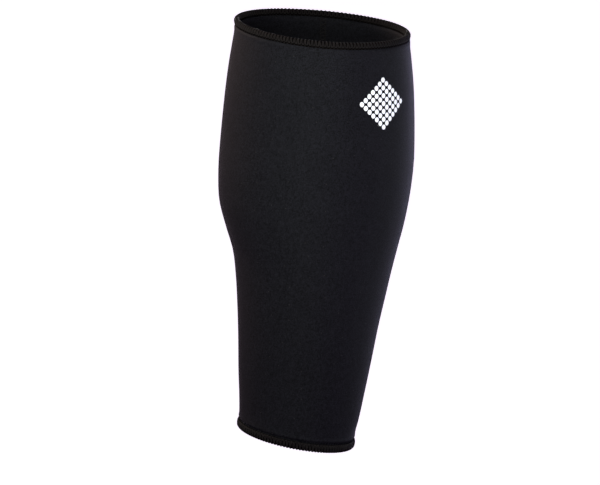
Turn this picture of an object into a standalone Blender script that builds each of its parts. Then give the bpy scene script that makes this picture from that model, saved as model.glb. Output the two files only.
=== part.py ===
"""Calf compression sleeve in its worn form.

Metres, +Z up the sleeve and -Y to its front. The origin is on the sleeve's axis, level with its widest
part. The wall is foam cloth, thread binds its two cut rims, and a sewn seam closes it behind. Each piece
is a closed section carried round the axis or along it. A section's points are pairs of level and depth:
the level is a height on the axis, and the depth goes inwards from the outer face of the cloth, square to
it.
"""

import math
from typing import NamedTuple

import bpy
import numpy as np

# Heights on the sleeve's axis, from its widest level to the two rims
SHIN_LENGTH = 0.1934
CALF_RISE = 0.0867

# Outline of the cloth's outer face at the three levels that shape it. A middle is how far the outline's
# centre lies off the sleeve's axis, X to the right as seen from the front and Y to the back.
ANKLE_WIDTH = 0.0788
ANKLE_DEPTH = 0.0830
ANKLE_MIDDLE_X = 0.0001
ANKLE_MIDDLE_Y = -0.0010
CALF_WIDTH = 0.1300
CALF_DEPTH = 0.1330
CALF_MIDDLE_X = 0.0011
CALF_MIDDLE_Y = 0.0125
KNEE_WIDTH = 0.1177
KNEE_DEPTH = 0.1190
KNEE_MIDDLE_X = -0.0003
KNEE_MIDDLE_Y = 0.0030

# The sleeve is narrower in front than behind, by this share of its width on either side of its middle.
# Towards the ankle end that fades out, and the outline leans: what lies behind its middle moves to the side
# by this share of how far back it lies, and what lies in front moves the other way.
SHIN_NARROWING = 0.08
ANKLE_LEAN = -0.06

# Slope of the rims, down to the right as seen from the front, in degrees
ANKLE_RIM_SLOPE = 6.0
KNEE_RIM_SLOPE = 1.25

# Cloth, and how far the thread presses each face in under a hem and over the stretch beside it
CLOTH_THICKNESS = 0.0030
HEM_PINCH = 0.0005
PINCH_RUN = 0.0030

# Thread that binds the rims and closes the tube
ANKLE_HEM_HEIGHT = 0.0055
KNEE_HEM_HEIGHT = 0.0045
THREAD_LAYER = 0.0008
SEAM_WIDTH = 0.0050
SEAM_EDGE = 0.0007
CLEARANCE = 0.0003

# Fineness of the meshes
SEGMENTS = 48
CLOTH_RINGS = 26
RIM_STEPS = 5
SHARP_ANGLE = math.radians(40)

# Step over which the face's directions are taken, in metres along it and in radians round it
DIRECTION_STEP = 1e-5


class Section(NamedTuple):
    """One level of the sleeve. The height is a share of the length from a rim to the widest level. The
    rest say how far each side has grown from the rim's outline, 0, to the widest level's outline, 1."""

    height: float
    left: float
    right: float
    front: float
    back: float


SHIN_SECTIONS = (
    Section(height=0.00, left=0.02, right=-0.02, front=0.03, back=0.02),
    Section(height=0.05, left=0.00, right=0.00, front=0.01, back=0.00),
    Section(height=0.10, left=0.02, right=0.07, front=0.06, back=0.02),
    Section(height=0.20, left=0.09, right=0.18, front=0.17, back=0.09),
    Section(height=0.31, left=0.16, right=0.29, front=0.31, back=0.20),
    Section(height=0.42, left=0.24, right=0.40, front=0.44, back=0.35),
    Section(height=0.52, left=0.33, right=0.52, front=0.56, back=0.52),
    Section(height=0.62, left=0.475, right=0.64, front=0.67, back=0.70),
    Section(height=0.70, left=0.71, right=0.755, front=0.76, back=0.83),
    Section(height=0.78, left=0.915, right=0.875, front=0.84, back=0.93),
    Section(height=0.86, left=0.99, right=0.955, front=0.91, back=0.99),
    Section(height=0.93, left=1.01, right=0.995, front=0.96, back=1.01),
    Section(height=1.00, left=1.00, right=1.01, front=1.00, back=1.00),
)

CALF_SECTIONS = (
    Section(height=0.80, left=0.89, right=0.93, front=0.85, back=0.94),
    Section(height=0.60, left=0.77, right=0.75, front=0.66, back=0.77),
    Section(height=0.40, left=0.55, right=0.52, front=0.45, back=0.52),
    Section(height=0.20, left=0.19, right=0.19, front=0.20, back=0.22),
    Section(height=0.10, left=0.02, right=0.00, front=0.02, back=0.05),
    Section(height=0.00, left=0.06, right=-0.11, front=-0.05, back=0.04),
)

RIM_MIDDLE = CLOTH_THICKNESS / 2
CLOTH_RIM_RADIUS = RIM_MIDDLE - HEM_PINCH
HEM_INNER_RADIUS = CLOTH_RIM_RADIUS + CLEARANCE
HEM_OUTER_RADIUS = HEM_INNER_RADIUS + THREAD_LAYER


class Rim(NamedTuple):
    """One end of the tube. Its level is that of the hem's outermost thread, and outwards is +1 at the
    knee and -1 at the ankle."""

    level: float
    outwards: int
    hem_height: float

    def inside(self, distance):
        """The level this far from the rim's edge, towards the middle of the sleeve."""
        return self.level - self.outwards * distance


ANKLE_RIM = Rim(-SHIN_LENGTH, -1, ANKLE_HEM_HEIGHT)
KNEE_RIM = Rim(CALF_RISE, +1, KNEE_HEM_HEIGHT)


def extents(width, depth, middle_x, middle_y):
    """Left, right, front and back reach of an outline from the sleeve's axis."""
    return np.array([
        width / 2 - middle_x,
        width / 2 + middle_x,
        depth / 2 - middle_y,
        depth / 2 + middle_y,
    ])


def section_table():
    """Levels of all sections, from the ankle up, and the reach of the cloth at each."""
    ankle = extents(ANKLE_WIDTH, ANKLE_DEPTH, ANKLE_MIDDLE_X, ANKLE_MIDDLE_Y)
    calf = extents(CALF_WIDTH, CALF_DEPTH, CALF_MIDDLE_X, CALF_MIDDLE_Y)
    knee = extents(KNEE_WIDTH, KNEE_DEPTH, KNEE_MIDDLE_X, KNEE_MIDDLE_Y)
    shin = np.array(SHIN_SECTIONS)
    upper = np.array(CALF_SECTIONS)
    levels = np.concatenate([(shin[:, 0] - 1) * SHIN_LENGTH, (1 - upper[:, 0]) * CALF_RISE])
    reach = np.concatenate([ankle + shin[:, 1:] * (calf - ankle), knee + upper[:, 1:] * (calf - knee)])
    return levels, reach


SECTION_LEVELS, SECTION_REACH = section_table()


def reach_at(level):
    """Reach of the cloth at any level: a cubic through the sections, with the slope that its neighbours
    give each section."""
    slopes = np.gradient(SECTION_REACH, SECTION_LEVELS, axis=0)
    last = len(SECTION_LEVELS) - 2
    below = np.clip(np.searchsorted(SECTION_LEVELS, level, side="right") - 1, 0, last)
    span = SECTION_LEVELS[below + 1] - SECTION_LEVELS[below]
    share = ((level - SECTION_LEVELS[below]) / span)[..., None]
    span = span[..., None]
    return (
        (1 + 2 * share) * (1 - share) ** 2 * SECTION_REACH[below]
        + share * (1 - share) ** 2 * span * slopes[below]
        + share**2 * (3 - 2 * share) * SECTION_REACH[below + 1]
        + share**2 * (share - 1) * span * slopes[below + 1]
    )


def outer_face(level, angle):
    """Points of the cloth's outer face. An angle of 0 is to the right, a quarter turn is behind."""
    left, right, front, back = np.moveaxis(reach_at(level), -1, 0)
    near_ankle = np.clip(-level / SHIN_LENGTH, 0, 1) ** 2
    narrowing = 1 + SHIN_NARROWING * (1 - near_ankle) * np.sin(angle)
    backwards = (back + front) / 2 * np.sin(angle)
    sideways = (right + left) / 2 * np.cos(angle) * narrowing
    x = (right - left) / 2 + sideways + ANKLE_LEAN * near_ankle * backwards
    y = (back - front) / 2 + backwards
    up = (level - ANKLE_RIM.level) / (KNEE_RIM.level - ANKLE_RIM.level)
    slope = np.radians(ANKLE_RIM_SLOPE + (KNEE_RIM_SLOPE - ANKLE_RIM_SLOPE) * up)
    return np.stack([x, y, level - x * np.tan(slope)], axis=-1)


def points_inside(level, angle, depth):
    """Points this deep inside the cloth's outer face, square to it."""
    level, angle, depth = np.broadcast_arrays(level, angle, depth)
    around = outer_face(level, angle + DIRECTION_STEP) - outer_face(level, angle - DIRECTION_STEP)
    upwards = outer_face(level + DIRECTION_STEP, angle) - outer_face(level - DIRECTION_STEP, angle)
    normal = np.cross(around, upwards)
    normal /= np.linalg.norm(normal, axis=-1, keepdims=True)
    return outer_face(level, angle) - depth[..., None] * normal


def rim_arc(rim, radius):
    """Half a circle round the rim's edge, from the outer face over to the inner one, as level and depth."""
    turn = np.linspace(0, math.pi, RIM_STEPS + 1)
    levels = rim.inside(HEM_OUTER_RADIUS) + rim.outwards * radius * np.sin(turn)
    return np.stack([levels, RIM_MIDDLE - radius * np.cos(turn)], axis=1)


def cloth_face():
    """Levels and depths up the cloth's outer face between its two rounded rims. Under a hem the thread
    presses the face in, and half way along the run beside it a quarter of that is left."""

    def beside_hem(rim, run):
        return rim.inside(rim.hem_height + run)

    runs = np.array([0, PINCH_RUN / 2])
    depths = np.array([HEM_PINCH, HEM_PINCH / 4])
    free = np.linspace(beside_hem(ANKLE_RIM, PINCH_RUN), beside_hem(KNEE_RIM, PINCH_RUN), CLOTH_RINGS)
    levels = np.concatenate([beside_hem(ANKLE_RIM, runs), free, beside_hem(KNEE_RIM, runs)[::-1]])
    return np.stack([levels, np.concatenate([depths, np.zeros(CLOTH_RINGS), depths[::-1]])], axis=1)


def cloth_section():
    """The wall's section: up the outer face, over the knee rim, down the inner face, under the ankle rim."""
    outer = cloth_face()
    inner = outer * [1, -1] + [0, CLOTH_THICKNESS]
    ankle = rim_arc(ANKLE_RIM, CLOTH_RIM_RADIUS)
    return np.concatenate([outer, rim_arc(KNEE_RIM, CLOTH_RIM_RADIUS), inner[::-1], ankle[::-1]])


def hem_section(rim):
    """A hem's section, a hairpin over the rim: its outside, then back round the hollow for the cloth."""

    def hairpin(radius):
        end = rim.inside(rim.hem_height)
        arc = rim_arc(rim, radius)
        return np.array([[end, arc[0, 1]], *arc, [end, arc[-1, 1]]])

    return np.concatenate([hairpin(HEM_OUTER_RADIUS), hairpin(HEM_INNER_RADIUS)[::-1]])[:: rim.outwards]


def solid(name, grid, round_axis, material, collection):
    """A closed mesh over a grid of points. Its rows follow each other round a section, and each runs
    round the axis and closes, or else along the sleeve, with a flat cap over the section at each end."""
    rows, columns = grid.shape[:2]
    index = np.arange(rows * columns).reshape(rows, columns)
    ahead = np.roll(index, -1, axis=0)
    beside = np.roll(index, -1, axis=1)
    across = np.roll(ahead, -1, axis=1)
    quads = np.stack([index, beside, across, ahead], axis=-1)
    if round_axis:
        faces = quads.reshape(-1, 4).tolist()
    else:
        faces = quads[:, :-1].reshape(-1, 4).tolist()
        faces += [index[:, 0].tolist(), index[::-1, -1].tolist()]
    mesh = bpy.data.meshes.new(name)
    mesh.from_pydata(grid.reshape(-1, 3).tolist(), [], faces)
    mesh.validate()
    mesh.shade_smooth()
    mesh.set_sharp_from_angle(angle=SHARP_ANGLE)
    mesh.materials.append(material)
    collection.objects.link(bpy.data.objects.new(name, mesh))


def ring(name, section, material, collection):
    """A section carried once round the sleeve's axis."""
    angles = np.arange(SEGMENTS) * math.tau / SEGMENTS
    grid = points_inside(section[:, :1], angles, section[:, 1:])
    solid(name, grid, True, material, collection)


def back_seam(material, collection):
    """The band of stitches up the back, from hem to hem. It lies on the two flats of the cloth's mesh that
    meet at the back, so its corners are placed along the lines from that edge to the next ones."""
    ends = [rim.inside(rim.hem_height + CLEARANCE) for rim in (ANKLE_RIM, KNEE_RIM)]
    face = cloth_face()
    between = face[(face[:, 0] > ends[0]) & (face[:, 0] < ends[1])]
    levels = np.concatenate([ends[:1], between[:, 0], ends[1:]])
    lower_face = np.interp(levels, face[:, 0], face[:, 1]) - CLEARANCE
    back = math.pi / 2
    flat = math.tau / SEGMENTS

    def line(half_width, side, depth):
        middle = points_inside(levels, back, depth)
        next_edge = points_inside(levels, back - side * flat, depth)
        along = next_edge - middle
        return middle + along * half_width / np.linalg.norm(along, axis=1, keepdims=True)

    upper_face = lower_face - THREAD_LAYER
    top_half = SEAM_WIDTH / 2 - SEAM_EDGE
    corners = [
        line(SEAM_WIDTH / 2, -1, lower_face),
        line(top_half, -1, upper_face),
        line(0, 1, upper_face),
        line(top_half, 1, upper_face),
        line(SEAM_WIDTH / 2, 1, lower_face),
        line(0, 1, lower_face),
    ]
    solid("back_seam", np.stack(corners), False, material, collection)


def finish(name, colour, roughness, sheen):
    """A plain material with the part's colour."""
    material = bpy.data.materials.new(name)
    material.use_nodes = True
    shader = material.node_tree.nodes["Principled BSDF"]
    shader.inputs["Base Color"].default_value = (*colour, 1)
    shader.inputs["Roughness"].default_value = roughness
    shader.inputs["Metallic"].default_value = 0
    shader.inputs["Sheen Weight"].default_value = sheen
    return material


def main():
    for old in list(bpy.data.objects):
        bpy.data.objects.remove(old, do_unlink=True)
    collection = bpy.data.collections.new("calf_compression_sleeve")
    bpy.context.scene.collection.children.link(collection)
    cloth = finish("foam_cloth", (0.013, 0.013, 0.016), 0.7, 0.3)
    thread = finish("hem_thread", (0.009, 0.009, 0.009), 0.8, 0.1)
    ring("sleeve_body", cloth_section(), cloth, collection)
    ring("top_hem", hem_section(KNEE_RIM), thread, collection)
    ring("bottom_hem", hem_section(ANKLE_RIM), thread, collection)
    back_seam(thread, collection)


main()
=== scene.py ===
"""Looks of a calf compression sleeve, held in its worn form.

Metres, +Z up the sleeve and -Y to its front, with the origin on its axis at its widest part. Every piece is
laid on one outline of the worn form. A place on it is a level, which is a height on the sleeve's axis, an
angle round that axis, and a depth inwards from the outer face of the cloth, square to it.
"""

import logging
import math
from dataclasses import dataclass
from enum import Enum
from functools import cached_property
from typing import NamedTuple

import bmesh
import bpy
import numpy as np
from mathutils import Matrix, Vector


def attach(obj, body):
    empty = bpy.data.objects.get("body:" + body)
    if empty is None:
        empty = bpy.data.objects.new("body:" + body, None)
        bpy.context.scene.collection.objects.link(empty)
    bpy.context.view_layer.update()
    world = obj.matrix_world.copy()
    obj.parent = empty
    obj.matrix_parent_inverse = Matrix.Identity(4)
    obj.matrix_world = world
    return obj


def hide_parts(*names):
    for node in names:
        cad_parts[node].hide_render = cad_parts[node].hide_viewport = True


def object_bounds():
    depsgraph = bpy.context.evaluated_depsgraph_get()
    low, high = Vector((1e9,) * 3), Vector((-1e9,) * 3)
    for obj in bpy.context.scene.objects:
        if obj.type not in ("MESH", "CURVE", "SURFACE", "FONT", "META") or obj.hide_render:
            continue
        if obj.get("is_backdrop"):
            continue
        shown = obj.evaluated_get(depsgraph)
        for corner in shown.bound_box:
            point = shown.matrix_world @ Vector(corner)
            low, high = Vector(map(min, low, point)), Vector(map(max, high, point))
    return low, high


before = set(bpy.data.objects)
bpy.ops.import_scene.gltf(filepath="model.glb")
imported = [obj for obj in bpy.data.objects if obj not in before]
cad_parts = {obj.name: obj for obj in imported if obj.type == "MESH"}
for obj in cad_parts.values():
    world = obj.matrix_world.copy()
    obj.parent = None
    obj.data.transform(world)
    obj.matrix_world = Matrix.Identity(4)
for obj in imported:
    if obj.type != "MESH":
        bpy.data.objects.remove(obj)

LOG = logging.getLogger("calf_sleeve")
MM = 0.001
BODY = "root"
BACK = math.pi / 2
SAME_PLACE = 1e-7
OUTWARD_STEP = 0.1 * MM


class Slot(Enum):
    """The record's two material slots."""

    CLOTH = "foam_cloth"
    THREAD = "hem_thread"


class Side(Enum):
    """The two faces of the cloth. The value turns an outward height into a step towards that face."""

    OUTER = -1
    INNER = 1


class Section(NamedTuple):
    """One level of the sleeve. The height is a share of the length from a rim to the widest level. The
    rest say how far each side has grown from the rim's outline, 0, to the widest level's outline, 1."""

    height: float
    left: float
    right: float
    front: float
    back: float


@dataclass(frozen=True)
class Outline:
    """Outline of the cloth at a level that shapes it, with its centre's offset from the sleeve's axis."""

    width: float
    depth: float
    middle_x: float
    middle_y: float

    def reach(self) -> np.ndarray:
        """How far the outline reaches from the sleeve's axis: half its size, moved by its centre's offset.

        Returns:
            Left, right, front and back reach.
        """
        sides = (self.width, -self.middle_x), (self.width, self.middle_x)
        ends = (self.depth, -self.middle_y), (self.depth, self.middle_y)
        return np.array([size / 2 + offset for size, offset in sides + ends])


@dataclass(frozen=True)
class WornForm:
    """The form that the sleeve is stretched to when it is worn."""

    shin_length: float = 0.1934
    calf_rise: float = 0.0867
    ankle: Outline = Outline(0.0788, 0.0830, 0.0001, -0.0010)
    calf: Outline = Outline(0.1300, 0.1330, 0.0011, 0.0125)
    knee: Outline = Outline(0.1177, 0.1190, -0.0003, 0.0030)
    shin_narrowing: float = 0.08
    ankle_lean: float = -0.06
    ankle_rim_slope: float = 6.0
    knee_rim_slope: float = 1.25
    swell: float = 0.15 * MM
    swell_waves: tuple[tuple[float, float], ...] = ((2, 70), (3, -110), (5, 45))
    shin_sections: tuple[Section, ...] = (
        Section(height=0.00, left=0.02, right=-0.02, front=0.03, back=0.02),
        Section(height=0.05, left=0.00, right=0.00, front=0.01, back=0.00),
        Section(height=0.10, left=0.02, right=0.07, front=0.06, back=0.02),
        Section(height=0.20, left=0.09, right=0.18, front=0.17, back=0.09),
        Section(height=0.31, left=0.16, right=0.29, front=0.31, back=0.20),
        Section(height=0.42, left=0.24, right=0.40, front=0.44, back=0.35),
        Section(height=0.52, left=0.33, right=0.52, front=0.56, back=0.52),
        Section(height=0.62, left=0.475, right=0.64, front=0.67, back=0.70),
        Section(height=0.70, left=0.71, right=0.755, front=0.76, back=0.83),
        Section(height=0.78, left=0.915, right=0.875, front=0.84, back=0.93),
        Section(height=0.86, left=0.99, right=0.955, front=0.91, back=0.99),
        Section(height=0.93, left=1.01, right=0.995, front=0.96, back=1.01),
        Section(height=1.00, left=1.00, right=1.01, front=1.00, back=1.00),
    )
    calf_sections: tuple[Section, ...] = (
        Section(height=0.80, left=0.89, right=0.93, front=0.85, back=0.94),
        Section(height=0.60, left=0.77, right=0.75, front=0.66, back=0.77),
        Section(height=0.40, left=0.55, right=0.52, front=0.45, back=0.52),
        Section(height=0.20, left=0.19, right=0.19, front=0.20, back=0.22),
        Section(height=0.10, left=0.02, right=0.00, front=0.02, back=0.05),
        Section(height=0.00, left=0.06, right=-0.11, front=-0.05, back=0.04),
    )

    @cached_property
    def table(self) -> tuple[np.ndarray, np.ndarray]:
        """Levels of all sections, from the ankle up, and the reach of the cloth at each.

        A section's reach is the rim's plus its share of the growth from the rim's to the calf's.

        Returns:
            The levels, and one row of left, right, front and back reach for each.
        """
        ankle, calf, knee = (outline.reach() for outline in (self.ankle, self.calf, self.knee))
        shin = np.array(self.shin_sections)
        upper = np.array(self.calf_sections)
        levels = np.concatenate([(shin[:, 0] - 1) * self.shin_length, (1 - upper[:, 0]) * self.calf_rise])
        reach = np.concatenate([ankle + shin[:, 1:] * (calf - ankle), knee + upper[:, 1:] * (calf - knee)])
        return levels, reach

    def reach_at(self, level: np.ndarray) -> np.ndarray:
        """Reach of the cloth at any level: a cubic through the sections, with the slope that its
        neighbours give each section.

        Args:
            level: Heights on the sleeve's axis.

        Returns:
            Left, right, front and back reach, along a new last axis.
        """
        levels, reach = self.table
        slopes = np.gradient(reach, levels, axis=0)
        below = np.clip(np.searchsorted(levels, level, side="right") - 1, 0, len(levels) - 2)
        span = levels[below + 1] - levels[below]
        share = ((level - levels[below]) / span)[..., None]
        span = span[..., None]
        return (
            (1 + 2 * share) * (1 - share) ** 2 * reach[below]
            + share * (1 - share) ** 2 * span * slopes[below]
            + share**2 * (3 - 2 * share) * reach[below + 1]
            + share**2 * (share - 1) * span * slopes[below + 1]
        )

    def outer_face(self, level: np.ndarray, angle: np.ndarray) -> np.ndarray:
        """Points of the cloth's outer face.

        An ellipse through the four reaches, narrowed over the shin by the sine of the angle, swollen by
        slow sine waves that cross, each with its turns and its climb, and sheared so that its rims slope.
        Near the ankle, by the square of the share of the way down to it, the narrowing fades and what lies
        behind leans to the side.

        Args:
            level: Heights on the sleeve's axis.
            angle: Turns from the right, a quarter turn being behind.

        Returns:
            Points, along a new last axis.
        """
        left, right, front, back = np.moveaxis(self.reach_at(level), -1, 0)
        waves = [np.sin(turns * angle + climb * level) for turns, climb in self.swell_waves]
        swell = self.swell * sum(waves) / len(waves)
        near_ankle = np.clip(-level / self.shin_length, 0, 1) ** 2
        narrowing = 1 + self.shin_narrowing * (1 - near_ankle) * np.sin(angle)
        backwards = ((back + front) / 2 + swell) * np.sin(angle)
        sideways = ((right + left) / 2 * narrowing + swell) * np.cos(angle)
        x = (right - left) / 2 + sideways + self.ankle_lean * near_ankle * backwards
        y = (back - front) / 2 + backwards
        up = (level + self.shin_length) / (self.shin_length + self.calf_rise)
        slope = np.radians(self.ankle_rim_slope + (self.knee_rim_slope - self.ankle_rim_slope) * up)
        return np.stack([x, y, level - x * np.tan(slope)], axis=-1)

    def inside(self, level: np.ndarray, angle: np.ndarray, depth: np.ndarray) -> np.ndarray:
        """Points this deep inside the outer face, along the cross product of its two directions.

        Args:
            level: Heights on the sleeve's axis.
            angle: Turns from the right.
            depth: Distances inwards, negative for outwards.

        Returns:
            Points, along a new last axis.
        """
        level, angle, depth = np.broadcast_arrays(level, angle, depth)
        step = 1e-5
        around = self.outer_face(level, angle + step) - self.outer_face(level, angle - step)
        upwards = self.outer_face(level + step, angle) - self.outer_face(level - step, angle)
        normal = np.cross(around, upwards)
        normal /= np.linalg.norm(normal, axis=-1, keepdims=True)
        return self.outer_face(level, angle) - depth[..., None] * normal

    def metres_per_radian(self, level: np.ndarray, angle: float) -> np.ndarray:
        """Length of the outer face for each radian round the axis, from two points close together.

        Args:
            level: Heights on the sleeve's axis.
            angle: One turn from the right.

        Returns:
            Metres to the radian, one for each level.
        """
        step = 1e-4
        across = self.outer_face(level, angle + step) - self.outer_face(level, angle - step)
        return np.linalg.norm(across, axis=-1) / (2 * step)


@dataclass(frozen=True)
class Wall:
    """The foam cloth through its thickness, and how thread presses it at the rims."""

    thickness: float = 3.0 * MM
    hem_pinch: float = 0.5 * MM
    clearance: float = 0.3 * MM
    thread_layer: float = 0.8 * MM

    @property
    def middle(self) -> float:
        """Depth of the wall's middle."""
        return self.thickness / 2

    @property
    def edge_radius(self) -> float:
        """Radius of the pressed cloth's rounded edge."""
        return self.middle - self.hem_pinch

    @property
    def hollow_radius(self) -> float:
        """Radius of the hem's inside."""
        return self.edge_radius + self.clearance

    @property
    def hem_radius(self) -> float:
        """Radius of the hem's outside."""
        return self.hollow_radius + self.thread_layer


@dataclass(frozen=True)
class Rim:
    """One end of the tube. outwards is +1 at the knee and -1 at the ankle. The hem's ridge is the share of
    its half width that stands at full height, and plump is how much higher it is over the rim than at the
    other end. The groove that the needle row presses lies this far beside the hem's end, with this run to
    each side."""

    name: str
    level: float
    outwards: int
    hem_height: float
    stitches: int
    ridge: float
    plump: float
    groove_place: float
    groove_run: float

    def inside(self, distance: np.ndarray) -> np.ndarray:
        """The level this far from the rim's edge, towards the middle of the sleeve."""
        return self.level - self.outwards * distance

    def distance(self, level: np.ndarray) -> np.ndarray:
        """How far a level lies from the rim's edge."""
        return (self.level - level) * self.outwards


def running_length(points: np.ndarray) -> np.ndarray:
    """Length along each closed row of points, from 0 at its first point to its whole girth."""
    steps = np.linalg.norm(np.diff(points, axis=1, append=points[:, :1]), axis=-1)
    return np.concatenate([np.zeros((len(points), 1)), np.cumsum(steps, axis=1)], axis=1)


def paired(first: np.ndarray, second: np.ndarray) -> np.ndarray:
    """Two coordinates side by side along a new last axis, both in their common shape."""
    return np.stack(np.broadcast_arrays(first, second), axis=-1)


def linked(mesh: bpy.types.Mesh, finish: bpy.types.Material) -> bpy.types.Object:
    """Puts a finished mesh into the scene, shaded smooth.

    Args:
        mesh: The mesh, which gives the object its name.
        finish: Its material.

    Returns:
        The object.
    """
    mesh.shade_smooth()
    mesh.materials.append(finish)
    made = bpy.data.objects.new(mesh.name, mesh)
    bpy.context.scene.collection.objects.link(made)
    return made


def grid_mesh(
    name: str, points: np.ndarray, uv: np.ndarray, rows_close: bool, columns_close: bool
) -> bpy.types.Mesh:
    """A mesh of quads over stacks of points, each stack a grid of rows and columns.

    A quad joins a point to the next in its row and the two after them in the next row. Where rows or
    columns close, the last one is followed by the first.

    Args:
        name: The mesh's name, and that of its object.
        points: Shape (stacks, rows, columns, 3), with quads that turn anticlockwise seen from outside.
        uv: Shape (stacks, rows, columns, 2), with one more row or column where that direction closes.
        rows_close: Whether the last row is followed by the first.
        columns_close: Whether the last column is followed by the first.

    Returns:
        The mesh, with its UV map.
    """
    stacks, rows, columns = points.shape[:3]
    index = np.arange(stacks * rows * columns).reshape(stacks, rows, columns)
    ahead = np.roll(index, -1, axis=1)
    beside = np.roll(index, -1, axis=2)
    across = np.roll(ahead, -1, axis=2)
    last_row = rows if rows_close else rows - 1
    last_column = columns if columns_close else columns - 1
    kept = np.s_[:, :last_row, :last_column]
    faces = np.stack([index[kept], beside[kept], across[kept], ahead[kept]], axis=-1).reshape(-1, 4)
    here = uv[:, :last_row, :last_column]
    right = uv[:, :last_row, 1 : last_column + 1]
    far = uv[:, 1 : last_row + 1, 1 : last_column + 1]
    above = uv[:, 1 : last_row + 1, :last_column]
    corners = np.stack([here, right, far, above], axis=-2).reshape(-1, 2)
    mesh = bpy.data.meshes.new(name)
    mesh.vertices.add(index.size)
    mesh.vertices.foreach_set("co", points.astype(np.float32).ravel())
    mesh.loops.add(faces.size)
    mesh.loops.foreach_set("vertex_index", faces.astype(np.int32).ravel())
    mesh.polygons.add(len(faces))
    mesh.polygons.foreach_set("loop_start", np.arange(0, faces.size, 4, dtype=np.int32))
    mesh.update(calc_edges=True)
    layer = mesh.uv_layers.new(name="UVMap")
    layer.data.foreach_set("uv", corners.astype(np.float32).ravel())
    return mesh


def close_poles(mesh: bpy.types.Mesh) -> bpy.types.Mesh:
    """Merges the points of each row that has shrunk to one place.

    Args:
        mesh: The mesh, changed in place.

    Returns:
        The same mesh.
    """
    work = bmesh.new()
    work.from_mesh(mesh)
    bmesh.ops.remove_doubles(work, verts=work.verts, dist=SAME_PLACE)
    work.to_mesh(mesh)
    work.free()
    return mesh


def thread_mesh(
    name: str, path: np.ndarray, outwards: np.ndarray, radius: float, closed: bool, sides: int = 6
) -> bpy.types.Mesh:
    """Threads: a circle carried along each path, square to it.

    The circle's first axis is the path's direction crossed with the outward one, and its second is square
    to both. An open thread shrinks to a point at both ends.

    Args:
        name: The mesh's name.
        path: Shape (threads, points, 3).
        outwards: Directions away from the cloth, of the same shape.
        radius: The thread's radius.
        closed: Whether each path comes back to its first point.
        sides: Corners of the circle.

    Returns:
        The mesh. Its UV map runs along the thread in metres and once round it.
    """
    if closed:
        along = np.roll(path, -1, axis=1) - np.roll(path, 1, axis=1)
    else:
        along = np.gradient(path, axis=1)
    along /= np.linalg.norm(along, axis=-1, keepdims=True)
    first = np.cross(along, outwards)
    first /= np.linalg.norm(first, axis=-1, keepdims=True)
    second = np.cross(first, along)
    thickness = np.full(path.shape[1], radius)
    if not closed:
        thickness[[0, -1]] = 0
    turn = (np.arange(sides) * math.tau / sides)[:, None]
    circle = np.cos(turn) * first[:, :, None] + np.sin(turn) * second[:, :, None]
    points = path[:, :, None] + thickness[:, None, None] * circle
    uv = paired(running_length(path)[:, :, None], np.linspace(0, 1, sides + 1))
    mesh = grid_mesh(name, points, uv, rows_close=closed, columns_close=True)
    return mesh if closed else close_poles(mesh)


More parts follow.
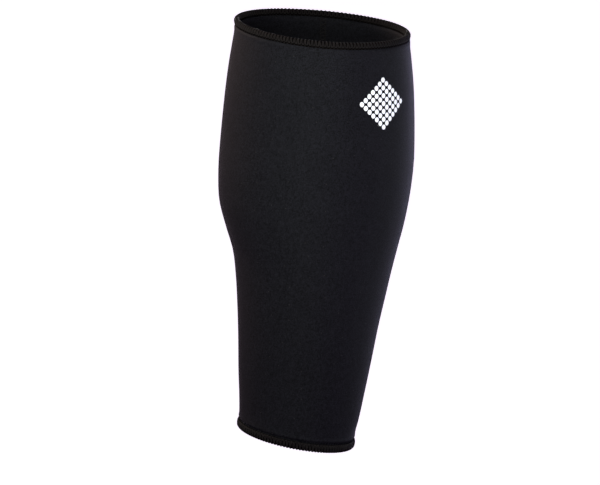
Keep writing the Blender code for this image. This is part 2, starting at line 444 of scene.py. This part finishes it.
class Shader:
    """A material's nodes, added and wired one by one."""

    def __init__(self, name: str) -> None:
        """Starts a material that holds its output and its surface shader alone.

        Args:
            name: The material's name.
        """
        self.material = bpy.data.materials.new(name)
        self.material.use_nodes = True
        self.tree = self.material.node_tree
        self.surface = self.tree.nodes["Principled BSDF"]

    def add(self, kind: str, **settings: object) -> bpy.types.Node:
        """A new node.

        Args:
            kind: The node's type.
            settings: Properties of the node to set.

        Returns:
            The node.
        """
        node = self.tree.nodes.new(kind)
        for name, value in settings.items():
            setattr(node, name, value)
        return node

    def join(self, source: object, target: bpy.types.NodeSocket) -> None:
        """Wires an output to an input, or sets the input if the source is a plain value.

        Args:
            source: An output socket, a number or a colour.
            target: The input.
        """
        if isinstance(source, bpy.types.NodeSocket):
            self.tree.links.new(source, target)
        else:
            target.default_value = source

    def math(self, operation: str, *values: object) -> bpy.types.NodeSocket:
        """One arithmetic step.

        Args:
            operation: The step's name, such as ADD.
            values: Sockets or numbers, in the order that the step takes them.

        Returns:
            The socket that holds the result.
        """
        node = self.add("ShaderNodeMath", operation=operation)
        for value, target in zip(values, node.inputs):
            self.join(value, target)
        return node.outputs[0]

    def noise(self, scale: float, detail: float = 2.0, seed: float = 0.0) -> bpy.types.NodeSocket:
        """Cloudy noise on object coordinates, from 0 to 1.

        Args:
            scale: Cells to the metre.
            detail: Finer layers on top of the first.
            seed: Place along the noise's fourth direction.

        Returns:
            The socket that holds the noise.
        """
        place = self.add("ShaderNodeTexCoord").outputs["Object"]
        node = self.add("ShaderNodeTexNoise", noise_dimensions="4D")
        self.join(place, node.inputs["Vector"])
        self.join(seed, node.inputs["W"])
        self.join(scale, node.inputs["Scale"])
        self.join(detail, node.inputs["Detail"])
        return node.outputs["Fac"]

    def blend(self, share: object, first: object, second: object) -> bpy.types.NodeSocket:
        """A colour between two others.

        Args:
            share: How far it lies from the first towards the second, from 0 to 1.
            first: The first colour.
            second: The second colour.

        Returns:
            The socket that holds the colour.
        """
        node = self.add("ShaderNodeMix", data_type="RGBA")
        self.join(share, node.inputs[0])
        self.join(first, node.inputs[6])
        self.join(second, node.inputs[7])
        return node.outputs[2]

    def flat_coordinates(self) -> tuple[bpy.types.NodeSocket, bpy.types.NodeSocket]:
        """The piece's own UV map.

        Returns:
            The sockets of its two coordinates.
        """
        layer = self.add("ShaderNodeUVMap", uv_map="UVMap")
        split = self.add("ShaderNodeSeparateXYZ")
        self.join(layer.outputs[0], split.inputs[0])
        return split.outputs[0], split.outputs[1]

    def wear(self, inputs: dict[str, object]) -> None:
        """Sets or wires the surface shader's inputs by their names."""
        for name, source in inputs.items():
            self.join(source, self.surface.inputs[name])

    def grain(self, cells: float, depth: float, seed: float) -> bpy.types.NodeSocket:
        """A normal tilted by fine noise, with this many cells to the metre."""
        return self.bump(self.noise(cells, seed=seed), depth, strength=0.5)

    def bump(
        self, height: object, distance: float, strength: float, under: object = None
    ) -> bpy.types.NodeSocket:
        """A normal tilted by the slope of a height.

        Args:
            height: The socket that holds the height, from 0 to 1.
            distance: What a height of 1 stands for.
            strength: How much of the tilt is used.
            under: Another normal that it is laid on.

        Returns:
            The socket that holds the normal.
        """
        node = self.add("ShaderNodeBump")
        self.join(height, node.inputs["Height"])
        self.join(distance, node.inputs["Distance"])
        self.join(strength, node.inputs["Strength"])
        if under is not None:
            self.join(under, node.inputs["Normal"])
        return node.outputs[0]


class Cloud(NamedTuple):
    """One layer of a mottled shade: noise with this many cells to the metre, times a weight."""

    cells: float
    weight: float
    seed: float


@dataclass(frozen=True)
class JerseyFinish:
    """Black nylon jersey: fine ribs of knit loops, a mottled shade and a few specks of lint."""

    wale: float = 0.55 * MM
    course: float = 0.45 * MM
    dark: tuple[float, ...] = (0.0010, 0.0010, 0.0014, 1)
    light: tuple[float, ...] = (0.0066, 0.0065, 0.0086, 1)
    lint: tuple[float, ...] = (0.022, 0.020, 0.020, 1)
    shade_base: float = -1.35
    clouds: tuple[Cloud, ...] = (
        Cloud(cells=60, weight=0.2, seed=0.0),
        Cloud(cells=480, weight=0.7, seed=2.0),
        Cloud(cells=1300, weight=2.8, seed=4.0),
    )
    lint_size: float = 0.25 * MM
    lint_cell: float = 13 * MM
    lint_share: float = 0.5
    grain_cells: float = 1600
    grain_depth: float = 0.05 * MM
    loop_depth: float = 0.08 * MM
    roughness: float = 0.80
    specular: float = 0.05
    sheen: float = 0.024
    sheen_roughness: float = 0.20
    sheen_tint: tuple[float, ...] = (0.95, 0.80, 1.0, 1)

    def loops(self, shader: Shader) -> bpy.types.NodeSocket:
        """Height of the knit: a rounded rib for each wale, crossed by slanted waves that meet in a V.

        Args:
            shader: The material's nodes.

        Returns:
            The socket that holds the height, from 0 to 1.
        """
        around, up = shader.flat_coordinates()
        column = shader.math("FRACT", shader.math("DIVIDE", around, self.wale))
        off_middle = shader.math("ABSOLUTE", shader.math("SUBTRACT", column, 0.5))
        rib = shader.math("COSINE", shader.math("MULTIPLY", off_middle, math.pi))
        row = shader.math("ADD", shader.math("DIVIDE", up, self.course), off_middle)
        slant = shader.math("SINE", shader.math("MULTIPLY", row, math.tau))
        relief = shader.math("MULTIPLY_ADD", slant, 0.25, 0.75)
        return shader.math("MULTIPLY", rib, relief)

    def lint_specks(self, shader: Shader) -> bpy.types.NodeSocket:
        """Where lint lies: close to the middle of a chosen share of the cells that the face is cut into.

        Args:
            shader: The material's nodes.

        Returns:
            The socket that holds 1 on a speck and 0 beside it.
        """
        specks = shader.add("ShaderNodeTexVoronoi", voronoi_dimensions="2D")
        shader.join(shader.add("ShaderNodeUVMap", uv_map="UVMap").outputs[0], specks.inputs["Vector"])
        shader.join(1 / self.lint_cell, specks.inputs["Scale"])
        near = shader.math("LESS_THAN", specks.outputs["Distance"], self.lint_size / self.lint_cell)
        chosen = shader.add("ShaderNodeSeparateColor")
        shader.join(specks.outputs["Color"], chosen.inputs[0])
        return shader.math("MULTIPLY", near, shader.math("GREATER_THAN", chosen.outputs[0], self.lint_share))

    def material(self) -> bpy.types.Material:
        """Builds the finish: the shade is the sum of the clouds on its base, with the lint over it.

        Returns:
            The material.
        """
        shader = Shader("jersey")
        shade: object = self.shade_base
        for cloud in self.clouds:
            noise = shader.noise(cloud.cells, detail=1.0, seed=cloud.seed)
            shade = shader.math("MULTIPLY_ADD", noise, cloud.weight, shade)
        colour = shader.blend(shade, self.dark, self.light)
        speck = self.lint_specks(shader)
        grain = shader.grain(self.grain_cells, self.grain_depth, seed=9.0)
        shader.wear(
            {
                "Base Color": shader.blend(speck, colour, self.lint),
                "Normal": shader.bump(self.loops(shader), self.loop_depth, strength=0.6, under=grain),
                "Roughness": self.roughness,
                "Specular IOR Level": self.specular,
                "Sheen Weight": self.sheen,
                "Sheen Roughness": self.sheen_roughness,
                "Sheen Tint": self.sheen_tint,
            }
        )
        return shader.material


@dataclass(frozen=True)
class ThreadFinish:
    """Black spun thread: twisted plies with a little fuzz, and painted shade in the grooves between plies.
    """

    name: str
    dark: tuple[float, ...]
    light: tuple[float, ...]
    specular: float
    sheen: float
    ply: float = 0.7 * MM
    ply_depth: float = 0.08 * MM
    fuzz_cells: float = 2500
    fuzz_depth: float = 0.04 * MM
    shade_cells: float = 400
    roughness: float = 0.78

    def material(self) -> bpy.types.Material:
        """Builds the finish: plies are stripes that climb round the thread as they run along it. The colour
        is darker where their relief is low, as painted shade in the grooves between plies.

        Returns:
            The material.
        """
        shader = Shader(self.name)
        along, around = shader.flat_coordinates()
        stripe = shader.math("ADD", shader.math("DIVIDE", along, self.ply), around)
        twist = shader.math("SINE", shader.math("MULTIPLY", stripe, math.tau))
        relief = shader.math("MULTIPLY_ADD", twist, 0.5, 0.5)
        # painted shade: the ply relief darkens the colour in the grooves between plies, times random tone
        # from the noise
        shade = shader.math("MULTIPLY", relief, shader.noise(self.shade_cells))
        fuzz = shader.grain(self.fuzz_cells, self.fuzz_depth, seed=3.0)
        shader.wear(
            {
                "Base Color": shader.blend(shade, self.dark, self.light),
                "Normal": shader.bump(relief, self.ply_depth, strength=0.6, under=fuzz),
                "Roughness": self.roughness,
                "Specular IOR Level": self.specular,
                "Sheen Weight": self.sheen,
            }
        )
        return shader.material


@dataclass(frozen=True)
class PrintFinish:
    """White ink pressed on the cloth, a little uneven."""

    colour: tuple[float, ...] = (0.82, 0.83, 0.83, 1)
    worn: tuple[float, ...] = (0.62, 0.63, 0.64, 1)
    worn_cells: float = 700
    grain_cells: float = 2200
    grain_depth: float = 0.03 * MM
    roughness: float = 0.55

    def material(self) -> bpy.types.Material:
        """Builds the finish: two whites blended by noise, and a fine grain.

        Returns:
            The material.
        """
        shader = Shader("white_ink")
        rubbed = shader.noise(self.worn_cells, detail=3.0)
        shader.wear(
            {
                "Base Color": shader.blend(rubbed, self.colour, self.worn),
                "Normal": shader.grain(self.grain_cells, self.grain_depth, seed=5.0),
                "Roughness": self.roughness,
            }
        )
        return shader.material


@dataclass(frozen=True)
class SleeveCloth:
    """The tube of foam cloth, pressed in by thread under its hems and rolled up a little beside them."""

    form: WornForm
    wall: Wall
    rims: tuple[Rim, ...]
    columns: int = 576
    beside_from: float = -0.5 * MM
    beside_run: float = 7.5 * MM
    beside_rows: int = 18
    outer_rows: int = 44
    inner_rows: int = 28
    edge_steps: int = 5
    pinch_run: float = 0.9 * MM
    groove: float = 0.45 * MM
    dimple: float = 0.35 * MM
    roll: float = 0.20 * MM
    roll_place: float = 2.2 * MM
    roll_run: float = 1.2 * MM

    def pressed(self, level: np.ndarray, angle: np.ndarray) -> np.ndarray:
        """Depth of the outer face below the worn form's outline.

        Under a hem it is the pinch, which fades beside it as a bell curve of the distance. The needle row
        presses a groove there, a bell curve too, which a cosine round the rim deepens at each stitch, and
        a third bell curve further off raises a soft roll.

        Args:
            level: Heights on the sleeve's axis.
            angle: Turns from the right.

        Returns:
            The depth, of the shape that level and angle share.
        """
        depth = np.zeros(np.broadcast_shapes(np.shape(level), np.shape(angle)))
        for rim in self.rims:
            beside = rim.distance(level) - rim.hem_height
            clear = np.maximum(beside, 0)
            bell = np.exp(-((clear / self.pinch_run) ** 2))
            near = np.exp(-(((beside - rim.groove_place) / rim.groove_run) ** 2))
            stitched = self.groove + self.dimple * np.cos(rim.stitches * (angle - BACK))
            roll = np.exp(-(((beside - self.roll_place) / self.roll_run) ** 2))
            depth = depth + self.wall.hem_pinch * bell + stitched * near - self.roll * roll
        return depth

    def levels(self, middle_rows: int) -> np.ndarray:
        """Levels of one face's rows, closer together the nearer they lie to a hem: the distance from it
        grows as the three-halves power of the row.

        Args:
            middle_rows: Rows between the two close-set stretches.

        Returns:
            The levels, from the ankle up.
        """
        ankle, knee = self.rims
        close = self.beside_from + self.beside_run * np.linspace(0, 1, self.beside_rows) ** 1.5
        low = ankle.inside(ankle.hem_height + close)
        high = knee.inside(knee.hem_height + close)[::-1]
        return np.concatenate([low, np.linspace(low[-1], high[0], middle_rows + 2)[1:-1], high])

    def edge(self, rim: Rim, angle: np.ndarray) -> np.ndarray:
        """Rows of the rounded cut edge, from the outer face over to the inner one: half a circle.

        Args:
            rim: The end of the tube.
            angle: Turns from the right, one for each column.

        Returns:
            Points of shape (rows, columns, 3).
        """
        turn = np.linspace(0, math.pi, self.edge_steps + 1)[:, None]
        radius = self.wall.edge_radius
        level = rim.inside(self.wall.hem_radius - radius * np.sin(turn))
        return self.form.inside(level, angle, self.wall.middle - radius * np.cos(turn))

    def build(self, finish: bpy.types.Material) -> bpy.types.Object:
        """Makes the cloth: up the outer face, over the knee's edge, down the inner face, under the ankle's.

        Args:
            finish: The jersey.

        Returns:
            The cloth's object.
        """
        ankle, knee = self.rims
        angle = BACK + np.arange(self.columns) * math.tau / self.columns
        outer = self.levels(self.outer_rows)[:, None]
        inner = self.levels(self.inner_rows)[::-1, None]
        rows = [
            self.form.inside(outer, angle, self.pressed(outer, angle)),
            self.edge(knee, angle),
            self.form.inside(inner, angle, self.wall.thickness - self.pressed(inner, angle)),
            self.edge(ankle, angle)[::-1],
        ]
        points = np.concatenate(rows)
        around = running_length(points)
        around -= around[:, self.columns // 2 : self.columns // 2 + 1]
        up = np.concatenate([points, points[:, :1]], axis=1)[..., 2]
        uv = paired(around, up)
        uv = np.concatenate([uv, uv[:1]])
        mesh = grid_mesh("sleeve_cloth", points[None], uv[None], rows_close=True, columns_close=True)
        return linked(mesh, finish)


@dataclass(frozen=True)
class OverlockHem:
    """The overlock that binds one rim: a ribbed bed of thread, looper threads that climb to the rim from
    either face and meet there, and a row of needle stitches on each face."""

    form: WornForm
    wall: Wall
    rim: Rim
    bed_radius: float = 1.80 * MM
    rib: float = 0.14 * MM
    crest: float = 0.22 * MM
    crest_run: float = 0.35
    waist: float = 0.35 * MM
    waist_run: float = 0.29
    bed_columns: int = 8
    bed_rows: int = 18
    looper_radius: float = 0.40 * MM
    looper_points: int = 30
    looper_start: float = 0.02
    looper_tail: float = 0.17
    looper_shift: float = 0.62
    looper_steepness: float = 3.0
    needle_radius: float = 0.20 * MM
    needle_place: float = 0.92
    needle_dive: float = 0.65 * MM
    needle_points: int = 12

    def at(self, angle: np.ndarray, across: np.ndarray, radius: np.ndarray) -> np.ndarray:
        """Points of the hairpin that wraps the rim: a straight side on each face, joined by half a circle.

        Args:
            angle: Turns from the right.
            across: From -1 at the needle line outside, over the rim at 0, to 1 at the one inside.
            radius: Distance from the wall's middle.

        Returns:
            Points, along a new last axis.
        """
        bend = self.wall.hem_radius
        quarter = math.pi / 2 * bend
        run = np.abs(across) * (quarter + self.rim.hem_height - bend)
        turn = np.minimum(run / bend, math.pi / 2)
        straight = np.maximum(run - quarter, 0)
        distance = bend - radius * np.cos(turn) + straight
        depth = self.wall.middle + np.sign(across) * radius * np.sin(turn)
        return self.form.inside(self.rim.inside(distance), angle, depth)

    def thread(
        self, name: str, stitch: np.ndarray, across: np.ndarray, height: np.ndarray, radius: float
    ) -> bpy.types.Mesh:
        """A thread that runs once round the rim and repeats in every stitch.

        Args:
            name: The piece's name.
            stitch: Place along one stitch, from 0 to 1, for each of its points.
            across: Place across the hem for each point.
            height: Distance from the wall's middle for each point.
            radius: The thread's radius.

        Returns:
            The thread's mesh.
        """
        count = self.rim.stitches
        turns = (np.arange(count)[:, None] + stitch).ravel() / count
        angle = BACK + turns * math.tau
        across = np.tile(across, count)
        height = np.tile(height, count)
        path = self.at(angle, across, height)
        outwards = self.at(angle, across, height + OUTWARD_STEP) - path
        return thread_mesh(name, path[None], outwards[None], radius, closed=True)

    def lift(self, across: np.ndarray) -> np.ndarray:
        """How much higher the threads lie than in a plain hairpin: the rim's plumpness and a bell curve over
        the rim, less a smooth step from the ridge down to the needle lines.

        Args:
            across: Places across the hem.

        Returns:
            Heights to add, of the same shape.
        """
        share = np.clip((np.abs(across) - self.rim.ridge) / self.waist_run, 0, 1)
        step = (self.waist + self.rim.plump) * share**2 * (3 - 2 * share)
        return self.rim.plump + self.crest * np.exp(-((across / self.crest_run) ** 2)) - step

    def bed(self) -> bpy.types.Mesh:
        """The bed of thread: the hairpin's outside, ribbed by a cosine round the rim, and its hollow.

        Returns:
            The bed's mesh.
        """
        columns = self.rim.stitches * self.bed_columns
        angle = BACK + np.arange(columns) * math.tau / columns
        across = np.linspace(-1, 1, self.bed_rows + 1)[:, None]
        ribs = self.rib * np.cos(self.rim.stitches * (angle - BACK)) * (1 - across**4)
        outside = self.at(angle, across, self.bed_radius - ribs + self.lift(across))
        hollow = self.at(angle, across[::-1], np.full_like(across, self.wall.hollow_radius))
        points = np.concatenate([outside, hollow])[:: self.rim.outwards]
        along = running_length(points)
        share = np.linspace(0, 1, len(points) + 1)[:, None]
        uv = paired(np.concatenate([along, along[:1]]), share)
        name = f"{self.rim.name}_hem_bed"
        return grid_mesh(name, points[None], uv[None], rows_close=True, columns_close=True)

    def looper(self, side: Side) -> bpy.types.Mesh:
        """A looper thread on one face: a bar along the needle line, then a strand up to the rim and one
        down again, close together, in each stitch.

        Across the hem it is the hyperbolic tangent of a shifted cosine wave, which squares the wave.

        Args:
            side: The face that it lies on.

        Returns:
            The thread's mesh.
        """
        stitch = np.arange(self.looper_points) / self.looper_points
        wave = np.tanh(self.looper_steepness * (np.cos(math.tau * stitch) + self.looper_shift))
        climb = (wave.max() - wave) / np.ptp(wave)
        end = self.rim.ridge + self.looper_tail
        across = side.value * (end - (end - self.looper_start) * climb)
        height = self.wall.hem_radius - self.looper_radius + self.lift(across)
        name = f"{self.rim.name}_hem_{side.name.lower()}_looper"
        return self.thread(name, stitch, across, height, self.looper_radius)

    def needle(self, side: Side) -> bpy.types.Mesh:
        """A row of needle stitches on one face, which dives into the cloth between stitches as the cube of a
        cosine.

        Args:
            side: The face that it lies on.

        Returns:
            The thread's mesh.
        """
        stitch = np.arange(self.needle_points) / self.needle_points
        dive = np.abs(np.cos(math.pi * stitch)) ** 3
        across = np.full(self.needle_points, self.needle_place * side.value)
        height = self.bed_radius + self.lift(across) - self.needle_dive * dive
        name = f"{self.rim.name}_hem_{side.name.lower()}_needle_row"
        return self.thread(name, stitch, across, height, self.needle_radius)

    def build(self, bed: bpy.types.Material, thread: bpy.types.Material) -> list[bpy.types.Object]:
        """Makes the hem's pieces with these two finishes: the bed first, then the threads."""
        threads = [make(side) for make in (self.looper, self.needle) for side in Side]
        return [linked(self.bed(), bed)] + [linked(mesh, thread) for mesh in threads]


@dataclass(frozen=True)
class BackSeam:
    """The flat seam that closes the tube behind: a thin bed, two needle rows and two crossing threads."""

    form: WornForm
    wall: Wall
    cloth: SleeveCloth
    width: float = 5.0 * MM
    stitch: float = 2.6 * MM
    bed_bottom: float = 0.10 * MM
    bed_height: float = 0.42 * MM
    bed_rows: int = 220
    bed_columns: int = 10
    thread_radius: float = 0.20 * MM
    stitch_points: int = 16
    row_offset: float = 1.95 * MM
    row_rise: float = 0.9
    row_dive: float = 0.5 * MM
    swing_rise: float = 0.8
    swing_over: float = 0.12 * MM

    @property
    def ends(self) -> tuple[float, float]:
        """Where the seam ends, clear of the hems.

        Returns:
            The levels of its lower and its upper end.
        """
        ankle, knee = self.cloth.rims
        gap = self.wall.clearance
        return ankle.inside(ankle.hem_height + gap), knee.inside(knee.hem_height + gap)

    def at(self, level: np.ndarray, offset: np.ndarray, height: np.ndarray, side: Side) -> np.ndarray:
        """Points over one face of the cloth, this far to the side of the back's middle line.

        Args:
            level: Heights on the sleeve's axis.
            offset: Distances from the middle line.
            height: Distances from the face.
            side: The face.

        Returns:
            Points, along a new last axis.
        """
        angle = BACK + offset / self.form.metres_per_radian(level, BACK)
        between = BACK + math.pi / (2 * self.cloth.rims[0].stitches)
        depth = self.cloth.pressed(level, between) - height
        if side is Side.INNER:
            depth = self.wall.thickness - depth
        return self.form.inside(level, angle, depth)

    def bed(self) -> bpy.types.Mesh:
        """The outer bed: a low dome, one minus the fourth power across, closed underneath and at its ends.

        Returns:
            The bed's mesh.
        """
        level = np.linspace(*self.ends, self.bed_rows)
        offset = np.linspace(1, -1, self.bed_columns + 1)
        dome = self.bed_bottom + (self.bed_height - self.bed_bottom) * (1 - offset**4)
        across = np.concatenate([offset, offset[1:-1][::-1]])
        height = np.concatenate([dome, np.full(self.bed_columns - 1, self.bed_bottom)])
        points = self.at(level[:, None], across * self.width / 2, height, Side.OUTER)
        middle = points.mean(axis=1, keepdims=True)
        caps = np.broadcast_to(middle, points.shape)
        points = np.concatenate([caps[:1], points, caps[-1:]])
        along = np.concatenate([level[:1], level, level[-1:]])[:, None]
        uv = paired(along, np.linspace(0, 1, points.shape[1] + 1))
        mesh = grid_mesh("back_seam_bed", points[None], uv[None], rows_close=False, columns_close=True)
        return close_poles(mesh)

    def threads(self, side: Side) -> bpy.types.Mesh:
        """The seam's threads on one face, in one mesh.

        Two rows dive into the cloth at every stitch, and two others swing from row to row as a cosine and
        its opposite, one over the other. Their rises are shares of the thread's radius.

        Args:
            side: The face that they lie on.

        Returns:
            The threads' mesh.
        """
        low, high = self.ends
        count = int((high - low) / self.stitch)
        place = np.linspace(0, count, count * self.stitch_points + 1)
        level = low + (high - low) * place / count
        top = self.bed_height if side is Side.OUTER else 0.0
        dive = np.abs(np.cos(math.pi * place)) ** 8
        row = top + self.thread_radius * self.row_rise - self.row_dive * dive
        swing = np.cos(math.pi * place) * (self.row_offset - self.thread_radius)
        crest = np.full_like(place, top + self.thread_radius * self.swing_rise)
        straight = np.full_like(place, self.row_offset)
        offsets = np.stack([straight, -straight, swing, -swing])
        heights = np.stack([row, row, crest, crest + self.swing_over])
        path = self.at(level, offsets, heights, side)
        outwards = self.at(level, offsets, heights + OUTWARD_STEP, side) - path
        name = f"back_seam_{side.name.lower()}_threads"
        return thread_mesh(name, path, outwards, self.thread_radius, closed=False, sides=5)

    def build(self, bed: bpy.types.Material, thread: bpy.types.Material) -> list[bpy.types.Object]:
        """Makes the seam's pieces with these two finishes: the bed first, then the threads."""
        return [linked(self.bed(), bed)] + [linked(self.threads(side), thread) for side in Side]


class Ring(NamedTuple):
    """One ring of a dot: its share of the dot's radius, and its rise over the cloth in shares of the ink."""

    share: float
    rise: float


@dataclass(frozen=True)
class DotPrint:
    """A plain rhombus of white ink dots on the front, high on the outer side."""

    form: WornForm
    cloth: SleeveCloth
    level: float = 0.0455
    angle: float = math.radians(316.2)
    pitch: float = 4.6 * MM
    rank: int = 3
    broadness: float = 0.97
    lowness: float = 0.81
    dot_radius: float = 1.7 * MM
    ink: float = 0.12 * MM
    sides: int = 24
    rings: tuple[Ring, ...] = (
        Ring(share=0.0, rise=-0.4),
        Ring(share=1.0, rise=-0.4),
        Ring(share=1.0, rise=0.3),
        Ring(share=0.93, rise=0.9),
        Ring(share=0.6, rise=1.0),
        Ring(share=0.0, rise=1.0),
    )

    def centres(self) -> np.ndarray:
        """Middles of the dots: the points of a square lattice, turned an eighth and then pressed together a
        little each way.

        Returns:
            Sideways and upward offsets, one row for each dot.
        """
        steps = np.arange(-self.rank, self.rank + 1) * self.pitch / math.sqrt(2)
        first, second = np.meshgrid(steps, steps)
        across, up = (first - second).ravel(), (first + second).ravel()
        return np.stack([self.broadness * across, self.lowness * up], axis=1)

    def build(self, finish: bpy.types.Material) -> bpy.types.Object:
        """Makes the dots: for each, rings that rise from under the face to a flat top with a round edge.

        Args:
            finish: The ink.

        Returns:
            The print's object.
        """
        share, rise = np.array(self.rings).T
        turn = np.arange(self.sides) * math.tau / self.sides
        ring = np.stack([np.cos(turn), np.sin(turn)], axis=-1) * self.dot_radius
        flat = self.centres()[:, None, None] + share[:, None, None] * ring
        level = self.level + flat[..., 1]
        angle = self.angle + flat[..., 0] / self.form.metres_per_radian(level, self.angle)
        depth = self.cloth.pressed(level, angle) - self.ink * rise[:, None]
        points = self.form.inside(level, angle, depth)
        uv = np.concatenate([flat, flat[:, :, :1]], axis=2)
        mesh = grid_mesh("front_print", points, uv, rows_close=False, columns_close=True)
        return linked(close_poles(mesh), finish)


@dataclass(frozen=True)
class Lamp:
    """A soft square lamp that faces the sleeve."""

    name: str
    place: tuple[float, float, float]
    size: float
    power: float
    colour: tuple[float, float, float]


@dataclass(frozen=True)
class Studio:
    """The pale floor far below the sleeve, soft light, and the camera."""

    distance: float = 6.0
    elevation: float = 11.0
    roll: float = 3.84
    frame_width: int = 600
    frame_height: int = 485
    pixels_per_metre: float = 1494.7
    origin_pixel: tuple[float, float] = (315.0, 154.0)
    sensor: float = 36.0
    floor_level: float = -0.8
    floor_size: float = 60.0
    floor_glow: float = 0.85
    floor_clouds: float = 1.5
    floor_dark: tuple[float, ...] = (0.93, 0.93, 0.93, 1)
    floor_light: tuple[float, ...] = (0.95, 0.95, 0.95, 1)
    far_limit: float = 200.0
    room_strength: float = 0.30
    room_colour: tuple[float, ...] = (0.83, 0.54, 1.0, 1)
    lamps: tuple[Lamp, ...] = (
        Lamp("key_lamp", place=(-0.10, -0.40, 0.15), size=0.30, power=4.5, colour=(0.92, 1.0, 0.89)),
        Lamp("left_lamp", place=(-0.50, 0.30, 0.30), size=0.30, power=5.9, colour=(1.0, 0.78, 0.64)),
        Lamp("right_lamp", place=(0.70, 0.35, -0.06), size=0.40, power=3.1, colour=(0.85, 1.0, 0.96)),
        Lamp("side_lamp", place=(0.60, -0.20, 0.00), size=0.30, power=1.8, colour=(0.73, 0.70, 1.0)),
        Lamp("rim_lamp", place=(0.42, 0.80, -0.06), size=0.40, power=4.5, colour=(0.71, 0.67, 1.0)),
        Lamp("back_lamp", place=(0.00, 1.30, 0.10), size=0.30, power=16.0, colour=(1.0, 1.0, 1.0)),
    )

    def floor(self) -> None:
        """Lays the floor, a wide plane with a faint unevenness of tone. It glows as if lit from afar, and
        sends no light back to the sleeve."""
        half = self.floor_size / 2
        corner = np.array([-half, half])
        x, y = np.meshgrid(corner, corner)
        points = np.stack([x, y, np.full_like(x, self.floor_level)], axis=-1)
        shader = Shader("pale_floor")
        clouds = shader.noise(self.floor_clouds)
        shader.wear(
            {
                "Base Color": shader.blend(clouds, self.floor_dark, self.floor_light),
                "Roughness": 1.0,
                "Specular IOR Level": 0.0,
                "Emission Color": (1, 1, 1, 1),
                "Emission Strength": self.floor_glow,
            }
        )
        mesh = grid_mesh("floor", points[None], points[None, ..., :2], rows_close=False, columns_close=False)
        laid = linked(mesh, shader.material)
        laid.visible_diffuse = False
        laid.visible_glossy = False
        laid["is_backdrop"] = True

    def light(self) -> None:
        """Hangs the lamps and sets the even light of the room."""
        for lamp in self.lamps:
            data = bpy.data.lights.new(lamp.name, "AREA")
            data.size = lamp.size
            data.energy = lamp.power
            data.color = lamp.colour
            made = bpy.data.objects.new(lamp.name, data)
            made.location = lamp.place
            made.visible_camera = False
            made.rotation_euler = (-Vector(lamp.place)).to_track_quat("-Z", "Y").to_euler()
            bpy.context.scene.collection.objects.link(made)
        world = bpy.data.worlds.new("studio")
        world.use_nodes = True
        background = world.node_tree.nodes["Background"]
        background.inputs["Color"].default_value = self.room_colour
        background.inputs["Strength"].default_value = self.room_strength
        bpy.context.scene.world = world
        bpy.context.scene.view_settings.view_transform = "Standard"

    def camera(self) -> None:
        """Places the camera: it stands back along its elevation, is rolled so that the sleeve leans right,
        and aims beside the origin by as much as puts the origin at its pixel."""
        elevation, roll = math.radians(self.elevation), math.radians(self.roll)
        back = Vector((0, -math.cos(elevation), math.sin(elevation)))
        level_right = Vector((1, 0, 0))
        level_up = back.cross(level_right)
        right = level_right * math.cos(roll) + level_up * math.sin(roll)
        up = back.cross(right)
        off_right = (self.origin_pixel[0] - self.frame_width / 2) / self.pixels_per_metre
        off_up = (self.frame_height / 2 - self.origin_pixel[1]) / self.pixels_per_metre
        place = back * self.distance
        aim = -right * off_right - up * off_up
        sight = (place - aim).normalized()
        right = (right - sight * right.dot(sight)).normalized()
        up = sight.cross(right)
        data = bpy.data.cameras.new("camera")
        data.sensor_width = self.sensor
        data.lens = self.pixels_per_metre * self.distance * self.sensor / self.frame_width
        data.clip_end = self.far_limit
        camera = bpy.data.objects.new("camera", data)
        turn = Matrix((right, up, sight)).transposed()
        camera.matrix_world = Matrix.Translation(place) @ turn.to_4x4()
        bpy.context.scene.collection.objects.link(camera)
        bpy.context.scene.camera = camera

    def build(self) -> None:
        """Sets up the whole studio."""
        self.camera()
        self.floor()
        self.light()


def fit(pieces: list[bpy.types.Object], slot: Slot, *replaced: str) -> None:
    """Lets pieces ride with the part.

    Args:
        pieces: The pieces' objects.
        slot: Their material slot; not used.
        replaced: The solids that the first piece stands for.
    """
    for piece in pieces:
        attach(piece, BODY)
        LOG.info("%s: %d faces", piece.name, len(piece.data.polygons))
    if replaced:
        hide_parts(*replaced)


def corners() -> list[list[float]]:
    """The shown part's box, as plain lists."""
    return [list(corner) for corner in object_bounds()]


def main() -> None:
    """Builds the sleeve's pieces in order and dresses them."""
    logging.basicConfig(level=logging.INFO, format="%(message)s")
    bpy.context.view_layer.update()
    form, wall = WornForm(), Wall()
    ankle = Rim(
        name="bottom",
        level=-form.shin_length,
        outwards=-1,
        hem_height=5.5 * MM,
        stitches=112,
        ridge=0.70,
        plump=0.20 * MM,
        groove_place=0.4 * MM,
        groove_run=1.0 * MM,
    )
    knee = Rim(
        name="top",
        level=form.calf_rise,
        outwards=1,
        hem_height=4.5 * MM,
        stitches=140,
        ridge=0.57,
        plump=0.0,
        groove_place=-0.5 * MM,
        groove_run=0.6 * MM,
    )
    Studio().build()
    jersey = JerseyFinish().material()
    # The bed is the same black thread, painted near black with no specular or sheen: painted shade for the
    # deep gaps between the looper threads, under the hems' ends and between the back seam's threads.
    bed = ThreadFinish(
        name="thread_bed_painted_shade",
        dark=(0.0008, 0.0007, 0.0007, 1),
        light=(0.0020, 0.0017, 0.0017, 1),
        specular=0.0,
        sheen=0.0,
    ).material()
    thread = ThreadFinish(
        name="thread",
        dark=(0.0045, 0.0038, 0.0038, 1),
        light=(0.0155, 0.0130, 0.0130, 1),
        specular=0.03,
        sheen=0.006,
    ).material()
    sleeve = SleeveCloth(form, wall, (ankle, knee))
    cloth = sleeve.build(jersey)
    fit([cloth], Slot.CLOTH, "sleeve_body")
    dressed = []
    for rim in (knee, ankle):
        hem = OverlockHem(form, wall, rim).build(bed, thread)
        fit(hem, Slot.THREAD, f"{rim.name}_hem")
        dressed += hem
    seam = BackSeam(form, wall, sleeve).build(bed, thread)
    fit(seam, Slot.THREAD, "back_seam")
    ink = DotPrint(form, sleeve).build(PrintFinish().material())
    fit([ink], Slot.CLOTH)


if __name__ == "__main__":
    main()
